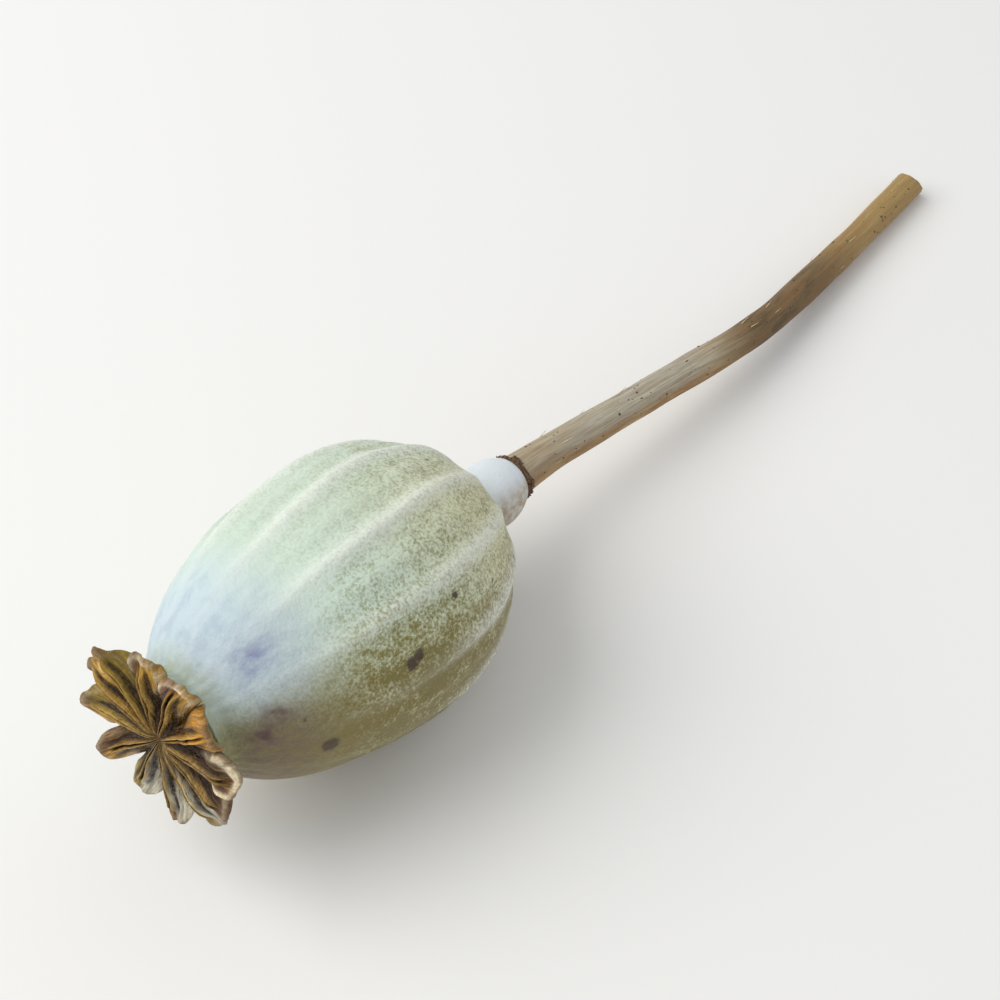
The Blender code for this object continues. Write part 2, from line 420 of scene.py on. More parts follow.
@dataclass(frozen=True)
class WaxySkin:
    """Skin of a half-ripe poppy capsule, grown under a bloom of wax.

    The wax is a thin matt white layer, so the skin looks mint or bluish where it is whole
    and olive where rubbing and drying have thinned it. On the side away from the lamp the
    thinner wax and warmer khaki are partly painted shade. Wax gives a broad soft highlight.
    Real wax is finer than a render can show, so its grain is drawn at 0.36 mm.
    """

    mint: str = "#D1E6DA"
    frost: str = "#C6D7E1"
    blue_grey_shade: str = "#A3B4C6"
    ivory: str = "#E0E0B8"
    olive: str = "#88883F"
    khaki: str = "#7B6D2F"
    cream: str = "#F1F4EA"
    bruise: str = "#7D80A6"
    blush: str = "#6A5448"
    streaked: str = "#55393A"
    neck: str = "#AEB384"
    cork: str = "#3E2712"
    # Rust-brown of the crease line, which is partly painted shade.
    rust: str = "#84583C"
    collar: str = "#E9F0F5"
    speckle_and_shade: str = "#AC9470"
    grain_size: float = 0.36
    fleck_size: float = 1.1
    patch_size: float = 8.0
    streak: Triple = (9.0, 1.3, 1.3)
    mottle: Triple = (3.6, 2.0, 2.0)
    groove_shade: float = 0.09
    raggedness: float = 0.9
    spots: tuple[tuple[float, float, float, float], ...] = (
        (-39.9, -13.9, -0.4, 1.4),
        (-28.9, -15.9, 6.5, 1.15),
        (-27.7, -15.9, 7.0, 1.0),
        (-20.3, -14.3, 10.4, 0.6),
    )
    shares: ClassVar[dict[str, float]] = {"grain": 0.56, "fleck": 0.26, "patch": 0.2, "streaks": 0.12}

    def make(self) -> Material:
        """Builds the material from the skin up: skin, wax, ribs, marks, then the relief.

        Returns:
            The material.
        """
        material, tree, shader = new_material("waxy_capsule_skin")
        spot = trait(tree, "grown", "Vector")
        grain = cloud(tree, spot, self.grain_size, (0.3, 0.7), 2.0)
        fleck = cloud(tree, spot, self.fleck_size, (0.34, 0.66), 4.0)
        patch = cloud(tree, spot, self.patch_size, (0.34, 0.66))
        streaks = cloud(tree, spot, self.streak, (0.34, 0.66), 2.0)
        mottled = cloud(tree, spot, self.mottle, (0.42, 0.7), 4.0)
        # Khaki and ivory follow warm, strongest on the side away from the lamp: partly real straw colour,
        # partly painted warm shade.
        skin = layered(tree, self.olive, Layer(self.khaki, ("warm",)), Layer(self.khaki, (), patch, 0.4))
        bloom = layered(
            tree, self.mint, Layer(self.ivory, ("warm",)), Layer(self.frost, ("frost",)),
            # Darker blue-grey mottles in the frosted part near the disc: painted shade.
            Layer(self.blue_grey_shade, ("frost",), mottled, 0.5),
        )
        known = {name: trait(tree, name) for name in ("wax", "dip", "speckle")}
        known |= {"grain": grain, "fleck": fleck, "patch": patch, "streaks": streaks}
        known["total"] = -sum(self.shares.values()) / 2
        work_out(tree, known, [
            *(("total", "MULTIPLY_ADD", name, share, "total") for name, share in self.shares.items()),
            # Less wax in the grooves beside the ribs lets the olive show there: painted shade in the
            # grooves.
            ("whole", "MULTIPLY_ADD", "dip", -self.groove_shade, "wax"),
            ("whole", "MULTIPLY_ADD", "total", "speckle", "whole"),
        ])
        limits = {"Value": known["whole"], "From Min": -0.1, "From Max": 1.1}
        wax = add(tree, "ShaderNodeMapRange", limits, interpolation_type="SMOOTHSTEP")
        waxed = add(tree, "ShaderNodeMix", {"Factor": wax, "A": skin, "B": bloom}, data_type="RGBA")
        stains = {"throat": self.neck, "bruise": self.bruise, "blush": self.blush, "streak": self.streaked}
        colour = layered(
            tree, waxed, Layer(self.cream, ("rib", "pale"), grain, 0.4, 0.4),
            *(Layer(hue, (name,), streaks, 0.55, 0.4) for name, hue in stains.items()),
            Layer(self.cork, (), self.marks(tree, spot)), Layer(self.collar, ("collar",)),
            # The collar's lower side is tinted beige-brown: real speckles there, with painted shade.
            Layer(self.speckle_and_shade, ("collar_speckle_and_shade",), fleck, 0.5, 0.45), Layer(self.rust, ("crease",)),
        )
        relief = add(tree, "ShaderNodeMath", {0: grain, 1: 0.5, 2: fleck}, operation="MULTIPLY_ADD")
        feed(tree, shader, {
            "Base Color": colour,
            "Roughness": add(tree, "ShaderNodeMapRange", {"Value": wax, "To Min": 0.42, "To Max": 0.66}),
            "Normal": add(tree, "ShaderNodeBump", {"Strength": 0.35, "Distance": 0.00012, "Height": relief}),
            "IOR": 1.45, "Sheen Weight": 0.08, "Sheen Roughness": 0.5,
        })
        return material

    def marks(self, tree: Tree, spot: Socket) -> Node:
        """Makes the corky spots: a few large ones in their places, and small scattered ones.

        Args:
            tree: The tree.
            spot: Where a point lies, in millimetres.

        Returns:
            The node that gives 1 on a spot.
        """
        ragged = add(tree, "ShaderNodeTexNoise", {"Vector": spot, "Scale": 1.6, "Detail": 2.0})
        moved = {0: ragged.outputs["Color"], 1: (self.raggedness,) * 3, 2: spot}
        shift = add(tree, "ShaderNodeVectorMath", moved, operation="MULTIPLY_ADD")
        cells = add(tree, "ShaderNodeTexVoronoi", {"Vector": shift, "Scale": 0.24})
        chosen = add(tree, "ShaderNodeSeparateColor", {"Color": cells.outputs["Color"]})
        chosen = add(tree, "ShaderNodeMath", {0: chosen, 1: 0.66}, operation="GREATER_THAN")
        limits = {"Value": cells.outputs["Distance"], "From Min": 0.1, "From Max": 0.045, "To Max": 0.75}
        small = add(tree, "ShaderNodeMapRange", limits)
        total = add(tree, "ShaderNodeMath", {0: small, 1: chosen}, operation="MULTIPLY")
        for *place, radius in self.spots:
            centre = tuple(part + self.raggedness / 2 for part in place)
            away = add(tree, "ShaderNodeVectorMath", {0: shift, 1: centre}, operation="DISTANCE")
            limits = {"Value": away.outputs["Value"], "To Max": 0.9}
            limits |= {"From Min": radius, "From Max": 0.55 * radius}
            inside = add(tree, "ShaderNodeMapRange", limits, interpolation_type="SMOOTHSTEP")
            total = add(tree, "ShaderNodeMath", {0: total, 1: inside}, operation="MAXIMUM")
        return total


@dataclass
class Capsule:
    """The ribbed capsule with the collar on which it sits, grown as one piece."""

    rest: Rest
    growth: Growth
    rays: int = 12
    diameter: float = 35.5
    length: float = 50.9
    widest_at: float = 21.4
    base_reach: float = 22.0
    top_reach: float = 29.8
    neck_radius: float = 6.6
    neck_flare: float = 1.4
    neck_flare_length: float = 2.4
    neck_blend: int = 8
    collar_length: float = 7.9
    collar_radius: float = 4.6
    collar_widest: float = 3.7
    collar_reach: float = 6.1
    crease_depth: float = 0.3
    crease_width: float = 0.24
    lumps: tuple[tuple[float, ...], ...] = ((0.2, 2, 0.6, 0.09, 1.6), (0.12, 5, 0.0, 0.31, 1.1))
    lump_span: Span = (1.0, 8.0)
    lump_fade_span: Span = (43.0, 49.0)
    pleats: int = 36
    pleat_height: float = 0.04
    pleat_span: Span = (44.0, 49.0)
    relief: tuple[tuple[float, float], ...] = ((0.16, 6.5), (0.05, 2.1), (0.022, 0.8))
    ribs: ClassVar[dict[str, float]] = {
        "Rib Height": 0.38, "Rib Width": 0.9, "Band Width": 1.3, "Groove Depth": 0.2, "Groove Offset": 2.5,
        "Groove Width": 1.3, "Rise From": 0.3, "Rise To": 3.0, "Fade From": 28.0, "Fade To": 44.0,
        "Rest": 0.12, "Wander": 0.45,
    }
    # The side where the wax is most whole, turned towards the lamp: the bright bloom there is partly painted
    # light.
    lit_wax_side: float = math.radians(42.0)
    collar_rings: int = 34
    base_rings: int = 92
    top_rings: int = 118
    columns: int = 384
    stains: tuple[tuple[str, float, float, float, float], ...] = (
        ("bruise", 0.5, 43.0, -27.0, 4.8),
        ("bruise", 0.5, 44.0, -27.0, 1.5),
        ("streak", 1.0, 44.6, -60.0, 1.2),
        ("streak", 1.0, 46.2, -73.0, 1.0),
    )

    def stations(self) -> Array:
        """Distances from the crease at which the capsule has a ring of points.

        Returns:
            The distances, rising.
        """
        quarter = math.pi / 2
        collar = -self.collar_length * np.arange(self.collar_rings, 0, -1) / self.collar_rings
        base = self.widest_at * (1 - np.cos(quarter * np.arange(self.base_rings + 1) / self.base_rings))
        share = np.arange(1, self.top_rings + 1) / self.top_rings
        top = self.widest_at + (self.length - self.widest_at) * np.sin(quarter * share)
        return np.concatenate([collar, base, top])

    def girth(self, u: Array) -> Array:
        """Gives the plain radius, without ribs.

        Args:
            u: Distances from the crease.

        Returns:
            The radius at each of them.
        """
        half = self.diameter / 2
        collar = 1 - ((u + self.collar_widest) / self.collar_reach) ** 2
        base = 1 - ((self.widest_at - u) / self.base_reach) ** 2
        top = 1 - ((u - self.widest_at) / self.top_reach) ** 2
        flare = smooth((self.length - self.neck_flare_length, self.length), u)
        neck = self.neck_radius + self.neck_flare * flare
        oval = half * np.sqrt(np.maximum(top, 0.0))
        shoulder = (oval**self.neck_blend + neck**self.neck_blend) ** (1 / self.neck_blend)
        lower = np.where(u < 0, self.collar_radius * np.sqrt(np.maximum(collar, 0.0)),
                         half * np.sqrt(np.maximum(base, 0.0)))
        plain = np.where(u < self.widest_at, lower, shoulder)
        return plain - self.crease_depth * bump(u, self.crease_width)

    def unevenness(self, u: Array, turn: Array, points: Array) -> Array:
        """Gives how far the grown surface stands out from the plain one.

        Args:
            u: Distances from the crease.
            turn: Angles round the axis.
            points: The plain surface's points.

        Returns:
            Heights in millimetres.
        """
        body = smooth(self.lump_span, u)
        lumps = sum(
            height * np.sin(bulges * turn + turned) * np.sin(pace * u + phase)
            for height, bulges, turned, pace, phase in self.lumps
        )
        fine = sum(height * self.growth.at(points, size) for height, size in self.relief)
        sway = 1.6 * self.growth.at(points, (9.0, 3.0, 3.0))
        pleat = self.pleat_height * smooth(self.pleat_span, u) * np.cos(self.pleats * turn + sway)
        creased = 0.14 * self.growth.at(points, (6.0, 0.9, 0.9)) * smooth(self.pleat_span, u)
        lumps = lumps * body * (1 - smooth(self.lump_fade_span, u))
        return lumps + (0.3 + 0.7 * body) * fine + pleat + creased

    def shell(self) -> Piece:
        """Makes the capsule without its ribs, with the traits that its skin needs.

        Returns:
            The piece.
        """
        turns = np.arange(self.columns) * TAU / self.columns
        u, turn = np.meshgrid(self.stations(), turns, indexing="ij")
        outward = np.stack([0 * u, np.sin(turn), np.cos(turn)], axis=-1)
        along = np.stack([-u, 0 * u, 0 * u], axis=-1)
        girth = self.girth(u)
        plain = along + outward * girth[..., None]
        raised = girth + self.unevenness(u, turn, plain)
        traits = {"grown": plain, "along": u, "turn": turn, "girth": girth}
        traits |= {"outward": self.rest.turned(outward), **self.traits(u, turn, girth)}
        return ring_mesh("capsule_shell", along + outward * raised[..., None], traits, self.rest)

    def traits(self, u: Array, turn: Array, girth: Array) -> dict[str, Array]:
        """Gathers what the skin needs to know of each point.

        Args:
            u: Distances from the crease.
            turn: Angles round the axis.
            girth: The plain radius there.

        Returns:
            Each trait by name. The wax is most whole on the upper side, which faces the lamp,
            and by the neck, and the green has turned to straw most by the base and on the lower
            side. The thinner wax and the warm khaki on the lower side are partly real and partly
            painted shade.
        """
        # upper is 1 on the side towards the lamp; the wax, frost and rib paleness that grow with it and the
        # warm khaki that grows against it are partly painted light and shade.
        upper = 0.5 + 0.5 * np.cos(turn - self.lit_wax_side)
        base = 1 - smooth((10.0, 30.0), u)
        whole = smooth((0.2 - 0.2 * base, 0.7 - 0.12 * base), upper)
        neck = 0.22 * smooth((28.0, 43.0), u) * smooth((0.3, 0.66), upper)
        straw = 0.15 + 0.85 * (1 - smooth((0.72, 1.08), upper)) * (1 - smooth((6.0, 34.0), u))
        low = 1 - smooth((0.3, 0.48), upper)
        collar = 1 - smooth((-0.35, 0.15), u)
        rubbed = np.maximum(smooth((0.95, 0.6), upper), 1 - smooth((8.0, 28.0), u))
        traits = {
            "wax": 0.01 + (0.87 - 0.12 * base) * whole + neck,
            "warm": np.maximum(1 - smooth((0.2, 0.75), upper), straw),
            "frost": 0.95 * smooth((33.0, 45.0), u) * (0.35 + 0.65 * upper),
            "throat": 0.8 * smooth((46.6, 50.0), u),
            "blush": 0.8 * low * smooth((38.0, 45.0), u) * (1 - 0.6 * smooth((46.5, 49.0), u)),
            "collar": collar,
            "speckle": (1 - 0.7 * smooth((31.0, 41.0), u)) * (0.4 + 0.75 * rubbed),
            "pale": 1 - 0.85 * smooth((14.0, 27.0), u) * (1 - smooth((0.3, 0.75), upper)),
            # Beige-brown on the collar's lower side, away from the lamp: partly real speckles, partly
            # painted shade.
            "collar_speckle_and_shade": collar * (1 - smooth((0.25, 0.7), upper)),
            # A rust-brown line in the crease, strongest on the lower side: partly painted shade in the
            # crease.
            "crease": bump(u + 0.05, 0.2) * (0.35 + 0.65 * (1 - upper)),
        }
        for name, strength, distance, degrees, size in self.stains:
            off = (turn - math.radians(degrees) + math.pi) % TAU - math.pi
            stain = strength * bump(np.hypot(u - distance, off * girth), size)
            traits[name] = traits.get(name, 0) + stain
        return traits

    def rib_tree(self, inputs: dict[str, object]) -> Tree:
        """Builds the tree that raises the ribs and sinks the shallow grooves beside them.

        Args:
            inputs: The tree's inputs and their values.

        Returns:
            The tree.
        """
        tree, given = growing_tree("ribs", inputs)
        known = {socket.name: socket for socket in given.outputs}
        for name in ("along", "turn", "girth"):
            known[name] = add(tree, "GeometryNodeInputNamedAttribute", {"Name": name}, data_type="FLOAT")
        outward = add(tree, "GeometryNodeInputNamedAttribute", {"Name": "outward"}, data_type="FLOAT_VECTOR")
        work_out(tree, known, [
            ("rays a radian", "DIVIDE", "Rays", TAU),
            ("pitch", "DIVIDE", TAU, "Rays"),
            ("phase", "MULTIPLY_ADD", "turn", "rays a radian", -0.5),
            ("nearest", "ROUND", "phase"),
            ("pace", "MULTIPLY", "along", 0.11),
            ("apart", "MULTIPLY", "nearest", 7.7),
        ])
        place = {"X": known["pace"], "Y": known["apart"], "Z": known["Seed"]}
        place = add(tree, "ShaderNodeCombineXYZ", place)
        noise = add(tree, "ShaderNodeTexNoise", {"Vector": place, "Scale": 1.0, "Detail": 2.0})
        known["noise"] = noise.outputs["Fac"]
        for name, before, after in (("Rise", 0.0, 1.0), ("Fade", 1.0, known["Rest"])):
            limits = {"From Min": known[f"{name} From"], "From Max": known[f"{name} To"]}
            limits |= {"Value": known["along"], "To Min": before, "To Max": after}
            known[name] = add(tree, "ShaderNodeMapRange", limits, interpolation_type="SMOOTHSTEP")
        hills = (
            ("crest", "arc", "Rib Width"),
            ("band", "arc", "Band Width"),
            ("groove", "beside", "Groove Width"),
        )
        work_out(tree, known, [
            ("sway", "SUBTRACT", "noise", 0.5),
            ("reach", "MULTIPLY", "Wander", 2.0),
            ("sway", "MULTIPLY", "sway", "reach"),
            ("angle", "SUBTRACT", "phase", "nearest"),
            ("angle", "MULTIPLY", "angle", "pitch"),
            ("arc", "MULTIPLY_ADD", "angle", "girth", "sway"),
            ("beside", "ABSOLUTE", "arc"),
            ("beside", "SUBTRACT", "beside", "Groove Offset"),
            *(step for name, distance, width in hills for step in (
                (name, "DIVIDE", distance, width), (name, "MULTIPLY", name, name),
                (name, "MULTIPLY", name, -1.0), (name, "EXPONENT", name))),
            ("strength", "MULTIPLY", "Rise", "Fade"),
            ("rib", "MULTIPLY", "band", "strength"),
            # dip marks the grooves beside the ribs, where the skin paints shade.
            ("dip", "MULTIPLY", "groove", "strength"),
            ("depth", "MULTIPLY", "groove", "Groove Depth"),
            ("height", "MULTIPLY", "crest", "Rib Height"),
            ("height", "SUBTRACT", "height", "depth"),
            ("height", "MULTIPLY", "height", "strength"),
            ("lift", "MULTIPLY", "height", MM),
        ])
        offset = add(tree, "ShaderNodeVectorMath", {0: outward, "Scale": known["lift"]}, operation="SCALE")
        kept = add(tree, "GeometryNodeSetPosition", {"Geometry": known["Geometry"], "Offset": offset})
        for name in ("rib", "dip"):
            stored = {"Geometry": kept, "Name": name, "Value": known[name]}
            kept = add(tree, "GeometryNodeStoreNamedAttribute", stored)
        close_tree(tree, kept, known["Finish"])
        return tree

    def build(self, finish: Material) -> None:
        """Builds the capsule and hands it over.

        Args:
            finish: Its material.
        """
        shell = self.shell()
        inputs = {"Rays": self.rays, "Seed": 3, "Finish": finish, **self.ribs}
        piece = grow(shell, self.rib_tree(inputs), inputs, "capsule_skin")
        bpy.data.objects.remove(shell)
        low = np.zeros(len(piece.data.vertices) * 3)
        piece.data.vertices.foreach_get("co", low)
        low[2::3] = np.maximum(low[2::3], 0.0)
        piece.data.vertices.foreach_set("co", low)
        hand_over(piece, "capsule")


class Tone(Enum):
    """A colour of a flank of the disc: partly what it has dried to, partly painted light and shade, a lit
    flank lighter and a flank in a pleat's shadow darker.
    """

    GOLD = "#CC9C36"
    OLIVE = "#98802A"
    AMBER = "#D99A38"
    RUSSET = "#8A5226"
    BROWN = "#70481A"
    UMBER = "#4E3318"
    PALE = "#E3E0CC"


@dataclass(frozen=True)
class Lobe:
    """How one lobe has dried; of each pair, the first is its flank towards the lobe before.

    A fold of 0 hangs as the pleat does, one of 1 twice as far, and one under -1 curls up.
    gap is half the space to the next lobe at the shoulder, and rim how pale its margin is.
    The two tones are partly painted light and shade: the lighter flank stands for a lit one,
    the darker for one in the pleat's shadow.
    """

    tones: tuple[Tone, Tone]
    folds: tuple[float, float]
    gap: float
    rim: float


@dataclass(frozen=True)
class DriedDisc:
    """Horny dried tissue of the ray disc, shrunk and browned in the air.

    It is golden where it is thin and taut, umber in its furrows, nearly white along its
    papery margins, and faintly glossy like dried petals. The umber of its furrows and
    valleys and the near-black of its slits are partly painted shade, and the gold of its
    raised lips partly painted light.
    """

    umber: str = "#241203"
    heart: str = "#543C1E"
    ochre: str = "#80581A"
    lip: str = "#CBA656"
    slit: str = "#100702"
    margin: str = "#F4E2BE"
    tip: str = "#63401F"
    belly: str = "#B9AE80"
    shine: str = "#E0B04E"
    streak: Triple = (3.4, 0.3, 1.0)
    fibre: Triple = (4.5, 0.16, 1.0)
    fleck_size: float = 0.55
    blot_size: float = 2.2

    def make(self) -> Material:
        """Builds the material from the flanks to the margins, then the relief.

        Returns:
            The material.
        """
        material, tree, shader = new_material("dried_stigma_tissue")
        spot = trait(tree, "grown", "Vector")
        streaks = cloud(tree, spot, self.streak, (0.42, 0.6))
        fibres = cloud(tree, spot, self.fibre, (0.45, 0.7), 2.0)
        fleck = cloud(tree, spot, self.fleck_size, (0.36, 0.64))
        blot = cloud(tree, spot, self.blot_size, (0.42, 0.66))
        colour = layered(
            tree, trait(tree, "tone", "Vector"), Layer(self.ochre, ("inner",)),
            Layer(self.shine, (), fibres, 0.36), Layer(self.umber, (), streaks, 0.5),
            Layer(self.umber, (), blot, 0.22), Layer(self.tip, ("tip",), streaks, 0.2, 0.6),
            Layer(self.margin, ("margin",), fleck, 0.4, 0.62),
            # Umber in the furrows and valleys, near-black in the slits and gold on the raised lips: partly
            # the tissue's own colour, partly painted shade and light.
            Layer(self.umber, ("furrow",), fleck, 0.2, 0.8), Layer(self.heart, ("heart",), fleck, 0.3, 0.65),
            Layer(self.lip, ("lip",), fleck, 0.4, 0.25),
            Layer(self.slit, ("slit",), fleck, 0.1, 0.9), Layer(self.belly, ("belly",)),
        )
        relief = add(tree, "ShaderNodeMath", {0: fleck, 1: 0.6, 2: streaks}, operation="MULTIPLY_ADD")
        # Dry tissue is full of air, which lowers its IOR, so its furrows stay dark and warm.
        feed(tree, shader, {
            "Base Color": colour,
            "Roughness": add(tree, "ShaderNodeMapRange", {"Value": streaks, "To Min": 0.24, "To Max": 0.46}),
            "Normal": add(tree, "ShaderNodeBump", {"Strength": 0.6, "Distance": 0.0002, "Height": relief}),
            "IOR": 1.36,
        })
        return material


@dataclass(frozen=True)
class Sheet:
    """Points of the flat lobes: along and across each ray, and where each one reads its noise."""

    x: Array
    y: Array
    spots: Array


@dataclass
class RayDisc:
    """The dried disc on top: 12 pleated lobes, each with a slit between two raised lips."""

    rest: Rest
    growth: Growth
    # Each lobe's tones pair a lighter and a darker flank: partly painted light and shade.
    lobes: tuple[Lobe, ...] = (
        Lobe((Tone.GOLD, Tone.BROWN), (0.3, -0.7), 0.2, 0.4),
        Lobe((Tone.OLIVE, Tone.GOLD), (0.2, -0.5), 0.25, 0.1),
        Lobe((Tone.GOLD, Tone.BROWN), (-0.6, 0.2), 0.3, 0.15),
        Lobe((Tone.OLIVE, Tone.GOLD), (0.3, -0.7), 0.25, 0.15),
        Lobe((Tone.BROWN, Tone.GOLD), (-0.5, 0.4), 0.3, 0.15),
        Lobe((Tone.OLIVE, Tone.PALE), (-0.3, -0.8), 0.25, 0.25),
        Lobe((Tone.BROWN, Tone.PALE), (-0.5, -0.5), 0.15, 0.3),
        Lobe((Tone.OLIVE, Tone.PALE), (0.2, -0.9), 0.1, 0.25),
        Lobe((Tone.BROWN, Tone.UMBER), (-0.3, 0.2), 0.05, 0.25),
        Lobe((Tone.BROWN, Tone.UMBER), (-1.3, -0.6), 0.0, 1.0),
        Lobe((Tone.AMBER, Tone.AMBER), (0.0, 0.3), 0.0, 0.1),
        Lobe((Tone.GOLD, Tone.RUSSET), (0.2, -0.5), 0.2, 0.45),
    )
    seat: float = 51.2
    radius: float = 12.5
    half_width: float = 1.98
    tip_length: float = 2.7
    thickness: float = 0.8
    rim_thickness: float = 0.45
    hub_radius: float = 6.7
    hub_height: float = 2.4
    hub_sink: float = 0.6
    underside_start: float = 7.6
    root_clearance: float = 0.975
    foot_clearance: float = 0.95
    droop: float = 0.2
    fold_depth: float = 1.35
    fold_power: float = 1.5
    fold_span: Span = (0.8, 6.5)
    puff: float = 0.3
    crest_height: float = 0.5
    crest_width: float = 0.8
    lip_height: float = 0.26
    lip_offset: float = 0.3
    lip_width: float = 0.2
    slit_depth: float = 0.5
    slit_width: float = 0.15
    furrow_depth: float = 0.22
    furrow_offset: float = 0.85
    furrow_width: float = 0.3
    ray_span: Span = (0.2, 1.4)
    ray_end_span: Span = (9.8, 11.6)
    wander: tuple[tuple[float, float], ...] = ((0.4, 6.5), (0.07, 1.5))
    margin_height: float = 0.2
    margin_width: float = 0.34
    margin_span: Span = (6.5, 8.6)
    wrinkles: tuple[tuple[float, ...], ...] = (
        (0.04, 0.7, 1.7, 1.0), (0.09, 2.6, 0.34, 1.0), (0.03, 0.9, 0.16, 1.0),
    )
    ragged: float = 0.022
    dimple_depth: float = 0.5
    dimple_width: float = 1.2
    free_length: float = 2.4
    curl: Span = (-1.0, 1.2)
    sway: Span = (-0.5, 0.5)
    twist: Span = (-0.3, 0.3)
    reach: Span = (-0.7, 0.5)
    habit_seed: int = 12
    side_points: int = 10
    tip_points: int = 53
    face_rings: int = 78
    under_rings: int = 22

    @property
    def half_pitch(self) -> float:
        """Half the angle between two rays."""
        return math.pi / len(self.lobes)

    @property
    def notch(self) -> float:
        """How far from the middle two lobes part."""
        return self.half_width / math.tan(self.half_pitch)

    @property
    def shoulder(self) -> float:
        """Where a lobe's round tip starts."""
        return self.radius - self.tip_length

    @cached_property
    def habits(self) -> dict[str, Array]:
        """How each lobe has curled, swayed, twisted and shrunk, as drawn, and its own sizes."""
        draw = random.Random(self.habit_seed)
        names = ("curl", "sway", "twist", "reach")
        drawn = [[draw.uniform(*getattr(self, name)) for name in names] for _ in self.lobes]
        columns = dict(zip(names, np.array(drawn).T))
        own = np.array([(lobe.gap, lobe.rim, *lobe.folds) for lobe in self.lobes])
        columns |= dict(zip(("gap", "rim", "before", "after"), own.T))
        return {name: values[None, :, None] for name, values in columns.items()}

    def half(self, x: Array) -> Array:
        """Gives half of each lobe's width, or of each ray's share of the disc's middle."""
        parted = np.clip((x - self.notch) / (self.shoulder - self.notch), 0.0, 1.0)
        return np.clip(x, 1e-6, self.shoulder) * math.tan(self.half_pitch) - self.habits["gap"] * parted

    def outline(self) -> tuple[Array, Array]:
        """Gives each lobe's edge, from one notch to just before the next, closer near its tip.

        Returns:
            Distances along and across each ray, with one ring, the lobes, and their points.
        """
        side = np.linspace(self.notch, self.shoulder, self.side_points, endpoint=False)[None, None, :]
        width = self.half(side)
        t = np.linspace(-1.0, 1.0, self.tip_points)[None, None, :]
        swing = math.pi / 2 * (0.55 * t + 0.45 * t**3)
        tip_x = self.shoulder + self.tip_length * np.cos(swing) + 0 * self.habits["gap"]
        tip_y = self.half(np.full((1, 1, 1), self.shoulder)) * np.sin(swing)
        side = side + 0 * self.habits["gap"]
        x = np.concatenate([side, tip_x, side[..., :0:-1]], axis=-1)
        y = np.concatenate([-width, tip_y, width[..., :0:-1]], axis=-1)
        torn = 1 + self.ragged * self.growth.at(self.sheet(x, y, 7.7).spots, 0.75)
        return x * torn, y * torn

    def sheet(self, x: Array, y: Array, apart: float, shift: float = 0.0) -> Sheet:
        """Gives points their places in the noise, where each lobe has its own layer.

        Args:
            x: Distances along each ray.
            y: Distances across it.
            apart: How far one lobe's layer is from the next.
            shift: How far they all are moved.

        Returns:
            The points.
        """
        layer = apart * np.arange(len(self.lobes))[None, :, None] + shift
        return Sheet(x, y, np.stack([x, y, layer + 0 * x], axis=-1))

    def fold(self, sheet: Sheet) -> Array:
        """Gives the height of the pleated sheet over its seat: high along a ray, low between two.

        Args:
            sheet: The points.

        Returns:
            Heights.
        """
        across = np.clip(np.abs(sheet.y) / self.half(sheet.x), 0.0, 1.0)
        free = smooth((self.notch, self.notch + self.free_length), sheet.x)
        flank = 1 + free * np.where(sheet.y > 0, self.habits["after"], self.habits["before"])
        drop = self.fold_depth * smooth(self.fold_span, sheet.x) * across**self.fold_power
        puff = self.puff * np.sin(math.pi * across) * smooth((5.0, 9.0), sheet.x)
        return self.hub_height - self.droop * (sheet.x / self.radius) ** 2 - drop * flank + puff

    def forms(self, sheet: Sheet) -> dict[str, Array]:
        """Gives each form of the face's relief as a share of its full height.

        Args:
            sheet: The points.

        Returns:
            Crest, lips, slit, furrows, margin and dimple, by name.
        """
        x, y, spots = sheet.x, sheet.y, sheet.spots
        level = np.stack([x, 0 * x, spots[..., 2]], axis=-1)
        stray = sum(height * self.growth.at(level, size) for height, size in self.wander)
        narrow = np.clip(0.2 + 0.13 * x, 0.2, 1.0)
        away = np.abs(y - stray * smooth((1.5, 6.0), x)) / narrow
        end = x + 0.6 * self.growth.at(spots, 2.0)
        along = smooth(self.ray_span, x) * (1 - smooth(self.ray_end_span, end))
        width = self.half(np.full((1, 1, 1), self.shoulder))
        round_tip = np.hypot(np.maximum(x - self.shoulder, 0.0) / self.tip_length, y / width)
        inside = np.where(x < self.shoulder, self.half(x) - np.abs(y), width * (1 - round_tip))
        crumbs = smooth(self.margin_span, x) * (1 + 0.9 * self.growth.at(spots, 1.1))
        return {
            "crest": bump(away, self.crest_width) * along * narrow,
            "lip": bump(away - self.lip_offset, self.lip_width) * along,
            "slit": bump(away, self.slit_width) * along,
            "furrow": bump(away - self.furrow_offset, self.furrow_width) * along,
            "margin": bump(inside - self.margin_width, self.margin_width) * crumbs,
            "dimple": bump(x, self.dimple_width),
        }

    def face(self, sheet: Sheet, forms: dict[str, Array]) -> Array:
        """Gives the height of the face over its seat.

        Args:
            sheet: The points.
            forms: The relief's forms.

        Returns:
            Heights.
        """
        narrow = np.clip(0.35 + 0.1 * sheet.x, 0.35, 1.0)
        relief = self.crest_height * forms["crest"] + narrow * self.lip_height * forms["lip"]
        relief = relief - narrow * (self.slit_depth * forms["slit"] + self.furrow_depth * forms["furrow"])
        relief = relief + self.margin_height * forms["margin"] - self.dimple_depth * forms["dimple"]
        wrinkles = sum(height * self.growth.at(sheet.spots, size) for height, *size in self.wrinkles)
        return self.fold(sheet) + relief + wrinkles * smooth((1.5, 4.5), sheet.x)

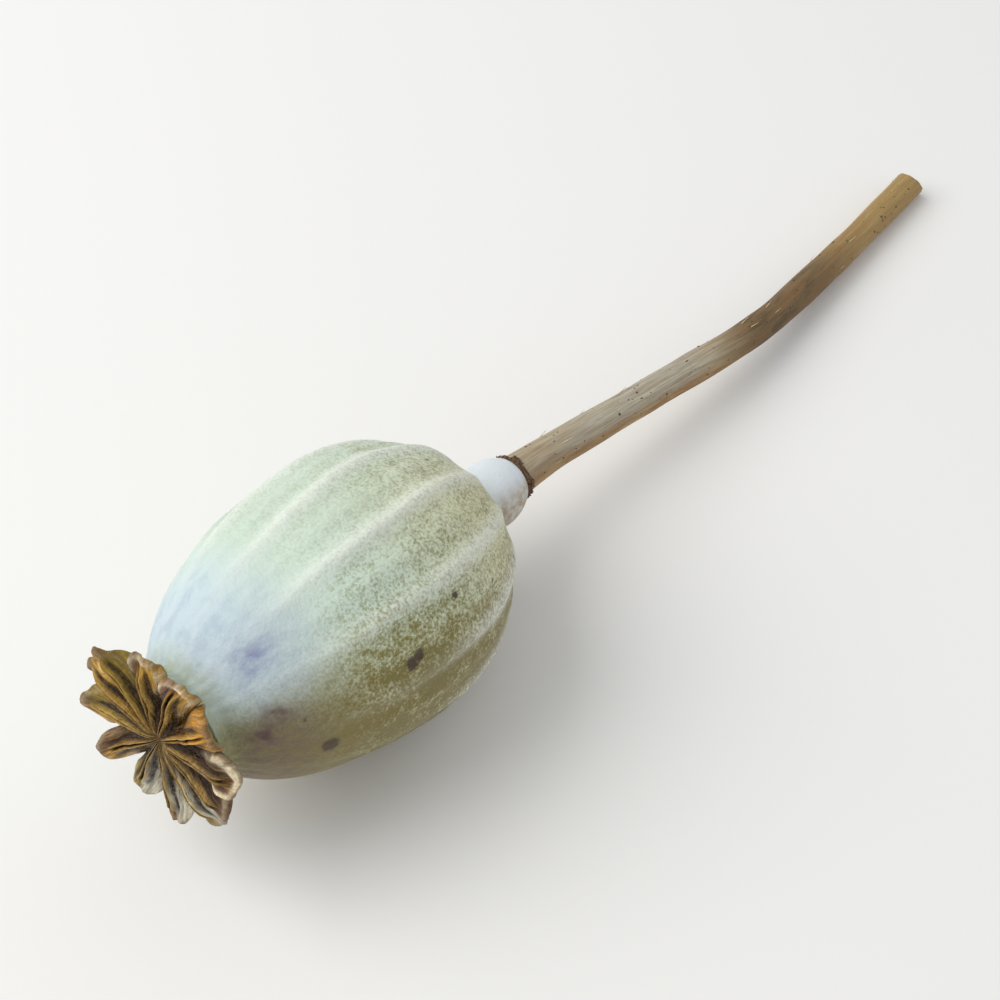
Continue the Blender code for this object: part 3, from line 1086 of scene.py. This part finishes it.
    def dried(self, x: Array, y: Array, height: Array) -> Array:
        """Moves each lobe's points as drying did, and puts them in the head's frame.

        Args:
            x: Distances along each ray.
            y: Distances across it.
            height: Heights over the seat.

        Returns:
            Rings of points, with a slow warp further out.
        """
        habits = self.habits
        q = np.maximum(0.0, (x - self.underside_start) / (self.radius - self.underside_start))
        height = height - habits["curl"] * q * q + habits["twist"] * q * y
        x, y = x + habits["reach"] * q, y + habits["sway"] * q * q
        ray = np.arange(len(self.lobes))[None, :, None]
        angle = (2 * ray + 1) * self.half_pitch + np.arctan2(y, x)
        radius = np.hypot(x, y)
        points = np.stack([-(self.seat + height), radius * np.sin(angle), radius * np.cos(angle)], axis=-1)
        loose = smooth((5.0, 10.0), radius)[..., None]
        warp = np.stack([self.growth.at(points + 40.0 * k, 3.4) for k in (1, 2, 3)], axis=-1)
        return points + loose * warp * np.array([0.6, 0.25, 0.25])

    def mesh(self) -> Piece:
        """Makes the disc from the middle of its face over the edge to the foot of its hub.

        Returns:
            The piece.
        """
        x, y = self.outline()
        edge = np.hypot(x, y)
        shares = (np.arange(1, self.face_rings + 1) / self.face_rings)[:, None, None] ** 0.9
        inward = np.linspace(0.0, 1.0, self.under_rings)[:, None, None]
        root = np.minimum(self.underside_start, edge * self.root_clearance) / edge
        back = 1 - (1 - root) * inward
        foot = np.minimum(self.hub_radius, edge * self.foot_clearance) / edge

        upside = self.sheet(shares * x, shares * y, 9.3)
        forms = self.forms(upside)
        face = self.dried(upside.x, upside.y, self.face(upside, forms))
        downside = self.sheet(back * x, back * y, 9.3, 3.1)
        thick = self.rim_thickness + (self.thickness - self.rim_thickness) * smooth((0.0, 0.5), inward)
        under = self.fold(downside) - thick + 0.12 * self.growth.at(downside.spots, (1.2, 0.5, 1.0))
        below = self.dried(downside.x, downside.y, under)
        outer = (face[-1:] + below[:1]) / 2
        radial = outer * np.array([0.0, 1.0, 1.0])
        swell = 0.14 * radial / np.linalg.norm(radial, axis=-1, keepdims=True)
        feet = [self.dried(foot * x, foot * y, 0 * x + height) for height in (0.6, -self.hub_sink)]
        rings = np.concatenate([face, outer + swell, below, *feet])

        traits = self.traits(upside, forms, len(rings) - len(face))
        last = downside.spots[-1:]
        traits["grown"] = np.concatenate([upside.spots, upside.spots[-1:], downside.spots, last, last])
        for name, values in traits.items():
            traits[name] = values.reshape(len(rings), -1, *values.shape[3:])
        return ring_mesh("stigma_lobes", rings.reshape(len(rings), -1, 3), traits, self.rest)

    def traits(self, sheet: Sheet, forms: dict[str, Array], hidden: int) -> dict[str, Array]:
        """Gathers what the finish needs to know of each point.

        Args:
            sheet: The face's points.
            forms: The relief on the face.
            hidden: How many rings follow the face's.

        Returns:
            Each trait by name, for all the rings.
        """
        x, y, rim = sheet.x, sheet.y, self.habits["rim"]
        hues = np.array([[linear(tone.value)[:3] for tone in lobe.tones] for lobe in self.lobes])
        side = smooth((-0.2, 0.2), y)[..., None]
        across = np.clip(np.abs(y) / self.half(x), 0.0, 1.0)
        # valley, furrow and slit darken the recesses and lip lightens the raised lips: partly painted shade
        # and light.
        valley = across**2 * smooth((1.0, 3.5), x) * (1 - smooth((7.4, 9.6), x))
        on_face = {
            # Flank tones, partly painted light and shade.
            "tone": hues[None, :, None, 0] * (1 - side) + hues[None, :, None, 1] * side,
            "inner": 0.6 * (1 - smooth((3.0, 8.0), x)),
            "furrow": np.clip(1.1 * forms["furrow"] + valley, 0.0, 1.0),
            "margin": np.clip(1.3 * forms["margin"] * rim, 0.0, 1.0),
            "lip": np.clip(forms["lip"] - forms["slit"], 0.0, 1.0),
            "slit": np.clip(1.3 * forms["slit"], 0.0, 1.0),
            "heart": 1 - smooth((0.6, 4.4), x),
            "tip": smooth((10.4, 12.2), x) * (1 - 0.7 * rim),
            "belly": 0 * x,
        }
        tail = {name: np.repeat(values[-1:], hidden, axis=0) for name, values in on_face.items()}
        tail["belly"][1:] = 0.8
        tail["furrow"][:] = 0.0
        return {name: np.concatenate([values, tail[name]]) for name, values in on_face.items()}

    def build(self, finish: Material) -> None:
        """Builds the disc and hands it over.

        Args:
            finish: Its material.
        """
        piece = self.mesh()
        piece.data.materials.append(finish)
        hand_over(piece, "stigma_disc")


@dataclass(frozen=True)
class StemBark:
    """Skin of a drying stem: grey wax above, tan to rusty skin below it, fine long streaks."""

    tan: str = "#B39562"
    rust: str = "#9C7340"
    grey: str = "#C3C3B6"
    shade: str = "#5A4424"
    straw: str = "#B08F55"
    pith: str = "#DCCDA2"
    core: str = "#6E5634"
    wart: str = "#3F2C1D"
    streak: Triple = (6.0, 0.3, 0.3)
    patch: Triple = (7.0, 1.6, 1.6)
    speck: Triple = (0.9, 0.5, 0.5)
    grain_size: float = 0.35

    def make(self) -> Material:
        """Builds the material along the stem, then its wax, its cut end and the relief.

        Returns:
            The material.
        """
        material, tree, shader = new_material("dry_stem_bark")
        spot = trait(tree, "grown", "Vector")
        streaks = cloud(tree, spot, self.streak, (0.34, 0.66))
        patch = cloud(tree, spot, self.patch, (0.38, 0.62))
        grain = cloud(tree, spot, self.grain_size, (0.35, 0.65), 2.0)
        specks = cloud(tree, spot, self.speck, (0.7, 0.76), 1.0)
        colour = layered(
            tree, self.tan, Layer(self.rust, (), patch), Layer(self.shade, ("shade",), patch, -0.45, 0.95),
            Layer(self.straw, ("straw",)), Layer(self.grey, ("wax",), streaks, 0.35, 0.45),
            Layer(self.shade, (), streaks, -0.2, 0.2), Layer(self.wart, (), specks),
            Layer(self.pith, ("cut",)), Layer(self.core, ("core",)),
        )
        relief = add(tree, "ShaderNodeMath", {0: grain, 1: 0.4, 2: streaks}, operation="MULTIPLY_ADD")
        feed(tree, shader, {
            "Base Color": colour, "Roughness": 0.6, "IOR": 1.45,
            "Normal": add(tree, "ShaderNodeBump", {"Strength": 0.5, "Distance": 0.0001, "Height": relief}),
        })
        return material


@dataclass(frozen=True)
class Plain:
    """A small plain tissue: scar, wart or bristle, with one grain and one fleck colour."""

    name: str
    colour: str
    fleck: str
    roughness: float
    size: float = 0.3

    def make(self) -> Material:
        """Builds the material; its pattern lies in the object's own coordinates.

        Returns:
            The material.
        """
        material, tree, shader = new_material(self.name)
        place = add(tree, "ShaderNodeTexCoord").outputs["Object"]
        spot = add(tree, "ShaderNodeVectorMath", {0: place, "Scale": 1 / MM}, operation="SCALE")
        fleck = cloud(tree, spot.outputs[0], self.size, (0.4, 0.6), 2.0)
        feed(tree, shader, {
            "Base Color": layered(tree, self.colour, Layer(self.fleck, (), fleck)),
            "Roughness": self.roughness,
            "Normal": add(tree, "ShaderNodeBump", {"Strength": 0.5, "Distance": 0.0001, "Height": fleck}),
        })
        return material


class Outgrowth(Enum):
    """What stands on the stem's skin."""

    BRISTLE = "bristle"
    WART = "wart"
    STUB = "stub"


@dataclass
class Stem:
    """The bent stem from its scar ring to its slanting cut, with what stands on its skin."""

    rest: Rest
    growth: Growth
    start: float = 8.2
    length: float = 95.0
    radius_top: float = 2.4
    radius_end: float = 2.12
    knots: tuple[Triple, ...] = ((0.05, 0.21, 0.5), (0.03, 0.53, 0.0))
    flare: float = 0.45
    flare_length: float = 3.0
    scar_radius: float = 3.35
    scar_length: float = 1.1
    scar_rounding: float = 0.25
    heading_start: float = math.radians(-6.0)
    heading_end: float = math.radians(3.0)
    heading_span: Span = (0.0, 11.4)
    bend_span: Span = (38.0, 62.7)
    lift: float = math.radians(8.0)
    lift_span: Span = (38.0, 95.0)
    cut_slant: float = math.tan(math.radians(24.0))
    cut_reach: float = 3.0
    grooves: int = 9
    groove_depth: float = 0.04
    relief: tuple[tuple[float, Triple], ...] = ((0.1, (6.0, 2.2, 2.2)), (0.025, (2.4, 0.5, 0.5)))
    sunk: float = 0.5
    rings: int = 560
    columns: int = 96
    cut_rings: int = 26

    def direction(self, s: Array) -> Array:
        """Gives the stem's direction.

        Args:
            s: Distances along the stem.

        Returns:
            A unit vector for each of them: it sways to one side and lifts near its end.
        """
        turn = smooth(self.bend_span, s)
        heading = self.heading_start * smooth(self.heading_span, s) * (1 - turn) + self.heading_end * turn
        lift = self.lift * smooth(self.lift_span, s)
        level = np.cos(lift)
        return np.stack([level * np.cos(heading), level * np.sin(heading), np.sin(lift)], axis=-1)

    def girth(self, s: Array) -> Array:
        """Gives the plain radius below the scar at each distance along the stem.

        Args:
            s: Distances along the stem.

        Returns:
            The radius at each of them.
        """
        taper = self.radius_top + (self.radius_end - self.radius_top) * s / self.length
        knots = sum(height * np.sin(pace * s + phase) for height, pace, phase in self.knots)
        beyond = np.maximum(s - self.scar_length, 0.0)
        return taper + knots + self.flare * np.exp(-beyond / self.flare_length)

    def tube(self, s: Array, radius: Array) -> tuple[Array, Array, Array]:
        """Sweeps rings along the stem.

        Args:
            s: Distances along the stem, rising.
            radius: Radii, one row for each distance and one column for each side.

        Returns:
            The rings, the centres and the directions.
        """
        forward = self.direction(np.maximum(s, 0.0))
        steps = self.direction(np.maximum((s[1:] + s[:-1]) / 2, 0.0)) * (s[1:] - s[:-1])[:, None]
        first = np.array([[self.start + s[0], 0.0, 0.0]])
        centres = np.concatenate([first, first + np.cumsum(steps, axis=0)])
        side = np.cross(np.array([0.0, 0.0, 1.0]), forward)
        side /= np.linalg.norm(side, axis=-1, keepdims=True)
        up = np.cross(forward, side)
        angle = np.arange(radius.shape[1]) * TAU / radius.shape[1]
        out = side[:, None] * np.sin(angle)[None, :, None] + up[:, None] * np.cos(angle)[None, :, None]
        slant = np.clip((s - self.length + self.cut_reach) / self.cut_reach, 0.0, 1.0) * self.cut_slant
        shear = slant[:, None] * radius * np.cos(angle)[None, :]
        rings = centres[:, None] + out * radius[..., None] - forward[:, None] * shear[..., None]
        return rings, centres, forward

    def straightened(self, s: Array, radius: float) -> tuple[Array, Array, Array]:
        """Unbends the stem.

        Args:
            s: Distances along it.
            radius: How wide it is taken to be.

        Returns:
            Each point's distance along, its side's angle, and its place if the stem were straight.
        """
        angle = np.arange(self.columns) * TAU / self.columns
        along, around = np.meshgrid(s, angle, indexing="ij")
        return along, around, np.stack([along, radius * np.sin(around), radius * np.cos(around)], axis=-1)

    def shaft(self) -> Piece:
        """Makes the stem with its cut end, and the traits that its skin needs.

        Returns:
            The piece.
        """
        s = np.linspace(-self.sunk, self.length, self.rings)
        along, around, spots = self.straightened(s, 2.3)
        furrows = np.cos(self.grooves * around + 2.0 * self.growth.at(spots, (14.0, 3.0, 3.0)))
        uneven = sum(height * self.growth.at(spots, size) for height, size in self.relief)
        rings, centres, forward = self.tube(s, self.girth(s)[:, None] + self.groove_depth * furrows + uneven)
        share = np.linspace(1.0, 0.0, self.cut_rings + 1)[1:-1][:, None, None]
        inner = centres[-1] + share * (rings[-1] - centres[-1])
        hollow = smooth((0.34, 0.2), share[..., 0])
        torn = self.growth.at(inner, 0.45) + 0.6 * self.growth.at(inner, 0.22)
        depth = 0.12 * smooth((1.0, 0.8), share[..., 0]) + 0.9 * hollow + 0.16 * torn
        cut = inner - forward[-1] * depth[..., None]
        top = np.cos(around)
        bloom = smooth((4.0, 14.0), along) * (1 - smooth((34.0, 48.0), along))
        outer = {
            "wax": smooth((-0.1, 0.8), top) * (0.6 + 0.4 * bloom) * (1 - 0.9 * smooth((34.0, 50.0), along)),
            "shade": smooth((36.0, 50.0), along) * (1 - smooth((62.0, 82.0), along)),
            "straw": smooth((64.0, 88.0), along),
            "cut": 0 * top,
            "core": 0 * top,
            "sprout": smooth((-0.1, 0.3), top) * smooth((3.0, 5.0), along),
        }
        blank = np.zeros((len(cut), self.columns))
        traits = {name: np.concatenate([values, blank]) for name, values in outer.items()}
        traits["cut"][-len(cut):] = smooth((0.97, 0.9), share[..., 0])
        traits["core"][-len(cut):] = hollow
        heading = np.broadcast_to(self.rest.turned(forward)[:, None], rings.shape)
        for name, values in (("grown", spots), ("heading", heading)):
            traits[name] = np.concatenate([values, np.repeat(values[-1:], len(cut), axis=0)])
        return ring_mesh("stem_bark", np.concatenate([rings, cut]), traits, self.rest)

    def scar(self) -> Piece:
        """Makes the ragged dark ring where petals and stamens broke off.

        Returns:
            The piece.
        """
        s = np.linspace(-0.3, self.scar_length + 0.1, 15)
        along, _, spots = self.straightened(s, 3.3)
        ragged = 0.22 * self.growth.at(spots, (0.7, 0.6, 0.6)) + 0.16 * self.growth.at(spots, 2.4)
        rounded = self.scar_rounding * (2 * along / self.scar_length - 1) ** 2
        ends = 0.55 * smooth((0.75, 1.0), np.abs(2 * (along + 0.3) / (self.scar_length + 0.4) - 1))
        rings, _, forward = self.tube(s, self.scar_radius - rounded + ragged - ends)
        wobble = 0.35 * self.growth.at(spots * np.array([0.0, 1.0, 1.0]), 1.1)
        rings = rings + forward[:, None] * wobble[..., None]
        heading = np.broadcast_to(self.rest.turned(forward)[:, None], rings.shape)
        traits = {"grown": spots, "heading": heading, "sprout": 1 - smooth((0.3, 0.6), np.abs(along - 0.55))}
        return ring_mesh("petal_scar", rings, traits, self.rest)

    def sprout_tree(self, kind: Outgrowth, inputs: dict[str, object]) -> Tree:
        """Builds the tree that strews bristles, warts or stubs over a skin.

        Args:
            kind: What it strews.
            inputs: The tree's inputs and their values.

        Returns:
            The tree.
        """
        tree, given = growing_tree(kind.value, inputs)
        out = given.outputs
        where = add(tree, "GeometryNodeInputNamedAttribute", {"Name": "sprout"}, data_type="FLOAT")
        heading = add(tree, "GeometryNodeInputNamedAttribute", {"Name": "heading"}, data_type="FLOAT_VECTOR")
        density = add(tree, "ShaderNodeMath", {0: where, 1: out["Density"]}, operation="MULTIPLY")
        points = add(tree, "GeometryNodeDistributePointsOnFaces",
                     {"Mesh": out["Geometry"], "Density": density, "Seed": out["Seed"]})
        lean = add(tree, "ShaderNodeVectorMath", {0: heading, "Scale": out["Lean"]}, operation="SCALE")
        stray = add(tree, "FunctionNodeRandomValue", {0: (-0.4,) * 3, 1: (0.4,) * 3, "Seed": out["Seed"]},
                    data_type="FLOAT_VECTOR")
        aim = add(tree, "ShaderNodeVectorMath", {0: points.outputs["Normal"], 1: lean}, operation="ADD")
        aim = add(tree, "ShaderNodeVectorMath", {0: aim, 1: stray}, operation="ADD")
        turned = add(tree, "FunctionNodeAlignRotationToVector", {"Vector": aim}, axis="Z")
        if kind is Outgrowth.WART:
            shape = add(tree, "GeometryNodeMeshIcoSphere", {"Radius": 1.0, "Subdivisions": 2})
        else:
            shape = add(tree, "GeometryNodeMeshCone", {
                "Vertices": 5, "Side Segments": 3, "Radius Top": 0.25, "Radius Bottom": 1.0, "Depth": 1.0})
        spread = add(tree, "FunctionNodeRandomValue", {"Min": 0.45, "Max": 1.3, "Seed": out["Seed"]})
        size = add(tree, "ShaderNodeCombineXYZ", {"X": out["Width"], "Y": out["Width"], "Z": out["Height"]})
        scale = add(tree, "ShaderNodeVectorMath", {0: size, "Scale": spread}, operation="SCALE")
        copies = add(tree, "GeometryNodeInstanceOnPoints",
                     {"Points": points, "Instance": shape, "Rotation": turned, "Scale": scale})
        close_tree(tree, copies, out["Finish"])
        return tree

    def strew(self, base: Piece, kind: Outgrowth, finish: Material, name: str,
              sizes: dict[str, float], seed: int) -> None:
        """Strews one kind of outgrowth over a piece and hands it over.

        Args:
            base: The piece whose skin it stands on.
            kind: What it is.
            finish: Its material.
            name: The new piece's name.
            sizes: Its density per square metre, width, height and lean.
            seed: What fixes the random draws.
        """
        inputs = {**sizes, "Seed": seed, "Finish": finish}
        hand_over(grow(base, self.sprout_tree(kind, inputs), inputs, name), "stem")

    def build(self, bark: Material, scab: Material, hair: Material) -> None:
        """Builds the stem, its scar ring and what stands on them, and hands them over.

        Args:
            bark: The stem's own material.
            scab: The scar's and the warts'.
            hair: The bristles'.
        """
        shaft, ring = self.shaft(), self.scar()
        shaft.data.materials.append(bark)
        ring.data.materials.append(scab)
        hand_over(shaft, "stem")
        hand_over(ring, "stem")
        bristles = {"Density": 34000.0, "Width": 0.06 * MM, "Height": 1.3 * MM, "Lean": 3.6}
        warts = {"Density": 60000.0, "Width": 0.17 * MM, "Height": 0.09 * MM, "Lean": 0.0}
        stubs = {"Density": 3.0e6, "Width": 0.12 * MM, "Height": 0.22 * MM, "Lean": 0.5}
        self.strew(shaft, Outgrowth.BRISTLE, hair, "stem_bristles", bristles, 4)
        self.strew(shaft, Outgrowth.WART, scab, "stem_warts", warts, 8)
        self.strew(ring, Outgrowth.STUB, scab, "stamen_stubs", stubs, 15)


@dataclass(frozen=True)
class Studio:
    """A pale floor, soft light from the upper left, and the camera at the photograph's angle."""

    target: Triple = (-0.0478, -0.0001, 0.0181)
    azimuth: float = math.radians(-41.0)
    elevation: float = math.radians(54.0)
    distance: float = 0.240
    aim: Triple = (-0.01569, 0.00165, 0.00719)
    lens: float = 70.8
    floor_size: float = 3.0
    floor_drop: float = 0.00004
    floor_colour: str = "#F8F7F5"
    lamp_place: Triple = (-0.42, 0.42, 0.62)
    lamp_size: float = 0.7
    lamp_watts: float = 4.8
    lamp_colour: str = "#FFFEFB"
    sky_colour: str = "#F4F6F8"
    sky_strength: float = 0.6

    def look(self, thing: Piece, place: Triple | Vector) -> None:
        """Puts a camera or a lamp in its place and turns it to what is looked at.

        Args:
            thing: The camera or lamp.
            place: Where it goes.
        """
        thing.location = place
        thing.rotation_mode = "QUATERNION"
        thing.rotation_quaternion = (Vector(self.aim) - thing.location).to_track_quat("-Z", "Y")

    def camera(self) -> None:
        """Places the camera and makes it the scene's own."""
        data = bpy.data.cameras.new("camera")
        data.lens = self.lens
        data.clip_start = 0.01
        camera = stand("camera", data)
        level = math.cos(self.elevation)
        back = (math.sin(self.azimuth) * level, -math.cos(self.azimuth) * level, math.sin(self.elevation))
        self.look(camera, Vector(self.target) + Vector(back) * self.distance)
        bpy.context.scene.camera = camera

    def floor(self) -> None:
        """Makes the floor, a matt white sheet that is not part of the object."""
        half = self.floor_size / 2
        mesh = bpy.data.meshes.new("floor")
        corners = [(-half, -half), (half, -half), (half, half), (-half, half)]
        mesh.from_pydata([(x, y, -self.floor_drop) for x, y in corners], [], [(0, 1, 2, 3)])
        material, tree, shader = new_material("matt_white_sheet")
        feed(tree, shader, {"Base Color": linear(self.floor_colour), "Roughness": 0.9})
        mesh.materials.append(material)
        stand("floor", mesh)

    def light(self) -> None:
        """Hangs one soft square lamp and sets the sky."""
        data = bpy.data.lights.new("window", "AREA")
        data.size = self.lamp_size
        data.energy = self.lamp_watts
        data.color = linear(self.lamp_colour)[:3]
        self.look(stand("window", data), self.lamp_place)
        world = bpy.data.worlds.new("sky")
        world.use_nodes = True
        sky = {"Color": linear(self.sky_colour), "Strength": self.sky_strength}
        feed(world.node_tree, world.node_tree.nodes["Background"], sky)
        bpy.context.scene.world = world
        bpy.context.scene.view_settings.view_transform = "Standard"

    def build(self) -> None:
        """Builds the camera, the floor and the light."""
        self.camera()
        self.floor()
        self.light()


def main() -> None:
    """Builds the sub-assemblies in order, then the studio."""
    logging.basicConfig(level=logging.INFO, format="%(name)s %(message)s")
    rest = Rest()
    scab = Plain("corky_scar", "#4A3524", "#7A5C40", 0.8)
    hair = Plain("papery_bristle", "#E8DCC0", "#C9B68C", 0.5)
    Capsule(rest, Growth(5)).build(WaxySkin().make())
    RayDisc(rest, Growth(21)).build(DriedDisc().make())
    Stem(rest, Growth(9)).build(StemBark().make(), scab.make(), hair.make())
    Studio().build()


if __name__ == "__main__":
    main()
